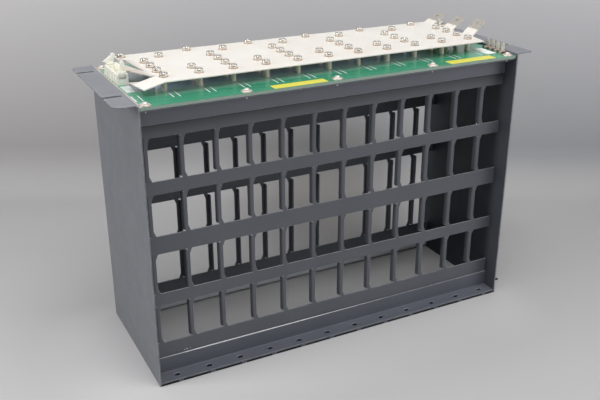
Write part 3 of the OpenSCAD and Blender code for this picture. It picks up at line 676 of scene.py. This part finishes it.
# Each is x, depth behind the panel's face, z and half size, in millimetres
FLAKES = [(113.6, 1.5, 221.2, 1.5), (150.0, 1.5, 221.2, 1.5), (186.3, 1.5, 221.2, 1.6), (114.0, 1.2, 162.5, 0.9),
          (150.4, 1.2, 162.5, 0.9), (114.0, 1.2, 100.6, 0.8), (150.4, 1.2, 100.6, 0.8),
          (-184.2, -0.1, 24.4, 0.8), (-181.6, -0.1, 24.6, 1.0), (-177.8, -0.1, 24.5, 0.7)]


def flakes(name, places):
    """Small ragged patches that face the front."""
    draw = random.Random(3)
    corners = 7
    slim = 0.8
    skin = 0.03
    bm = bmesh.new()
    for x, depth, z, size in places:
        outline = []
        for k in range(corners):
            a = math.tau * k / corners
            r = size * draw.uniform(0.6, 1.0)
            outline.append((x + r * slim * math.cos(a), z + r * math.sin(a)))
        front, back = [[bm.verts.new((u * MM, PANEL_FRONT + (depth + side) * MM, w * MM)) for u, w in outline]
                       for side in (-skin, skin)]
        bm.faces.new(front)
        bm.faces.new(back[::-1])
        ring_faces(bm, front, back)
    piece(name, from_bmesh(name, bm), BARE_STEEL)


flakes("paint_flakes", FLAKES)


# Stage

# The photograph's camera: its axes and place, and its focal length and width in pixels
RIGHT_AXIS = Vector((0.89059939, -0.45478685, -0.0012824))
DOWN_AXIS = Vector((-0.18120379, -0.35225842, -0.91819344))
VIEW_AXIS = Vector((0.41713057, 0.81797489, -0.39613024))
EYE = Vector((-0.41961797, -0.79774764, 0.52668032))
FOCAL_PX = 837.711
FRAME_PX = 600

# Directions on the floor: away from the camera, and across its view
AWAY = Vector((VIEW_AXIS.x, VIEW_AXIS.y, 0)).normalized()
ACROSS = Vector((AWAY.y, -AWAY.x, 0))

# The paper's tone. Painted light on the paper: the middle and half sizes of an oblong, and how far its brightness
# reaches
LIT_PAPER_MIDDLE, LIT_PAPER_HALF, LIT_PAPER_REACH = (-0.035, -0.0375, 0.0), (0.21, 0.0675), 0.1
# Shaded paper: the middle and the half sizes of an egg, across, away and up
SHADE_MIDDLE, SHADE_HALF = (0.02, 0.30, 0.03), (0.21, 0.30, 1 / 6)

FLOOR_HALF = 5.0
WALL_FOOT, WALL_HALF, WALL_TOP = 1.215, 2.5, 2.2  # Distance from the camera along the floor, half width, height
WALL_BEND = 0.07
WALL_LIFT = 0.0005


def stage_paper():
    """Matt grey studio paper; the sheet's back face is clear so that the back views aren't blocked."""
    mat, tree, place = material("studio_paper")
    x, y, height = add(tree, SPLIT, (place,)).node.outputs
    away = add(tree, VECTOR, (place, AWAY), operation="DOT_PRODUCT")
    across = add(tree, VECTOR, (place, ACROSS), operation="DOT_PRODUCT")
    # Painted light: the floor is darker further away
    behind = add(tree, RANGE, (away, -0.25, 0.15))
    floor = add(tree, MIX, (behind, linear("#bfbebf"), linear("#b1b0b0")))
    # Painted light: the paper is brighter where the cage stands
    offset = add(tree, VECTOR, (place, LIT_PAPER_MIDDLE), operation="SUBTRACT")
    offset = add(tree, VECTOR, (offset,), operation="ABSOLUTE")
    sides = add(tree, SPLIT, (offset,)).node.outputs
    outside = [add(tree, RANGE, (side, half, half + 1.0)) for side, half in zip(sides, LIT_PAPER_HALF)]
    apart = add(tree, VECTOR, (add(tree, JOIN, outside),), operation="LENGTH")
    painted_paper_light = add(tree, RANGE, (apart, LIT_PAPER_REACH, 0.0, 0.0, 0.2), interpolation_type="SMOOTHSTEP")
    floor = add(tree, MIX, (painted_paper_light, floor, linear("#f2f2f3")))
    # Painted shadow: the paper is dark under the near rail
    wide = add(tree, MATH, (x,), operation="ABSOLUTE")
    painted_floor_shadow = overlap(tree, (y, NEAR + 0.2 * MM, NEAR + 1.0 * MM), (y, RAIL_LEG - 4 * MM, RAIL_LEG - 5 * MM),
                     (wide, -LEFT_IN, -LEFT_IN - 1.0 * MM))
    floor = add(tree, MIX, (painted_floor_shadow, floor, linear("#2e2e30")))
    # Painted light: the wall is brighter further up, and on the right colder and darker low down; the floor's tone
    # turns into it in the bend
    up, to_right = add(tree, RANGE, (height, 0.05, 0.42)), add(tree, RANGE, (across, -0.4, 0.4))
    left = add(tree, MIX, (up, linear("#a7a5a6"), linear("#d3d2d3")))
    right = add(tree, MIX, (up, linear("#9d9ea1"), linear("#d3d3d6")))
    in_bend = add(tree, RANGE, (height, 0.0, 0.05))
    paper = add(tree, MIX, (in_bend, floor, add(tree, MIX, (to_right, left, right))))
    # Behind the cage the paper lies in its shade
    egg = add(tree, JOIN, [add(tree, RANGE, (value, middle, middle + half), clamp=False)
                           for value, middle, half in zip((across, away, height), SHADE_MIDDLE, SHADE_HALF)])
    reach = add(tree, VECTOR, (egg,), operation="LENGTH")
    shade = add(tree, RANGE, (reach, 1.0, 0.2, 0.0, 0.5), interpolation_type="SMOOTHSTEP")
    paper = add(tree, MIX, (shade, paper, linear("#352f24")))
    shader = add(tree, PRINCIPLED, {"Base Color": paper, "Roughness": 0.85})
    back = add(tree, GEOMETRY).node.outputs["Backfacing"]
    clear = add(tree, "ShaderNodeBsdfTransparent")
    add(tree, OUTPUT, {"Surface": add(tree, "ShaderNodeMixShader", (back, shader, clear))})
    return mat


def stage():
    """A pale floor, and a paper wall that rises behind the cage square to the view."""
    paper = stage_paper()
    bm = bmesh.new()
    bmesh.ops.create_grid(bm, x_segments=2, y_segments=2, size=FLOOR_HALF)
    floor = bpy.data.objects.new("floor", from_bmesh("floor", bm))
    foot = Vector((EYE.x, EYE.y, 0)) + AWAY * WALL_FOOT
    # The wall's profile, away from its foot and up: a quarter circle, then straight
    turns = [math.radians(a) for a in range(0, 91, 6)]
    profile = [(WALL_BEND * math.sin(a), WALL_BEND * (1 - math.cos(a)) + WALL_LIFT) for a in turns]
    profile.append((WALL_BEND, WALL_TOP))
    bm = bmesh.new()
    lines = [[bm.verts.new(foot + AWAY * d + ACROSS * side * WALL_HALF + Vector((0, 0, h))) for side in (-1, 1)]
             for d, h in profile]
    for a, b in zip(lines, lines[1:]):
        bm.faces.new((a[0], a[1], b[1], b[0]))
    wall = bpy.data.objects.new("wall", smooth(to_mesh("wall", bm), 60))
    for obj in (floor, wall):
        obj.data.materials.append(paper)
        bpy.context.scene.collection.objects.link(obj)


def lamp(name, spot, target, width, height, power):
    """Soft rectangular lamp that looks at a target."""
    data = bpy.data.lights.new(name, "AREA")
    data.shape = "RECTANGLE"
    data.size, data.size_y = width, height
    data.energy = power
    obj = bpy.data.objects.new(name, data)
    obj.location = spot
    obj.rotation_euler = (Vector(target) - Vector(spot)).to_track_quat("-Z", "Y").to_euler()
    bpy.context.scene.collection.objects.link(obj)


def light():
    """Soft lamps above the front, at the front right and at the left, and an even surround."""
    lamp("top_softbox", (-0.12, -0.6, 1.7), (0.0, 0.0, 0.2), 1.1, 1.1, 19.6)
    lamp("front_softbox", (1.0, -1.1, 0.68), (0.0, 0.0, 0.2), 0.9, 0.8, 7.0)
    lamp("left_softbox", (-1.25, 0.1, 0.75), (0.0, 0.0, 0.15), 0.5, 0.8, 8.5)
    world = bpy.data.worlds.new("surround")
    world.use_nodes = True
    tree = world.node_tree
    tree.nodes.clear()
    # The surround lights the cage dimly, and is brighter to the camera and in reflections
    dim, bright = 0.06, 0.35
    path = add(tree, "ShaderNodeLightPath").node.outputs
    seen = path["Is Camera Ray"]
    for ray in ("Is Glossy Ray", "Is Transmission Ray"):
        seen = add(tree, MATH, (seen, path[ray]), operation="MAXIMUM")
    strength = add(tree, RANGE, (seen, 0.0, 1.0, dim, bright))
    sky = add(tree, "ShaderNodeBackground", {"Color": linear("#e4e4e8"), "Strength": strength})
    add(tree, "ShaderNodeOutputWorld", {"Surface": sky})
    bpy.context.scene.world = world


def camera():
    """Camera at the photograph's place, found by a pinhole fit to the cage's corners."""
    data = bpy.data.cameras.new("camera")
    data.sensor_width = 36.0
    data.lens = data.sensor_width * FOCAL_PX / FRAME_PX
    data.clip_start, data.clip_end = 0.02, 50.0
    obj = bpy.data.objects.new("camera", data)
    turn = Matrix((RIGHT_AXIS, -DOWN_AXIS, -VIEW_AXIS)).transposed()
    obj.matrix_world = Matrix.Translation(EYE) @ turn.to_4x4()
    bpy.context.scene.collection.objects.link(obj)
    bpy.context.scene.camera = obj


stage()
light()
camera()
bpy.context.scene.view_settings.view_transform = "Standard"
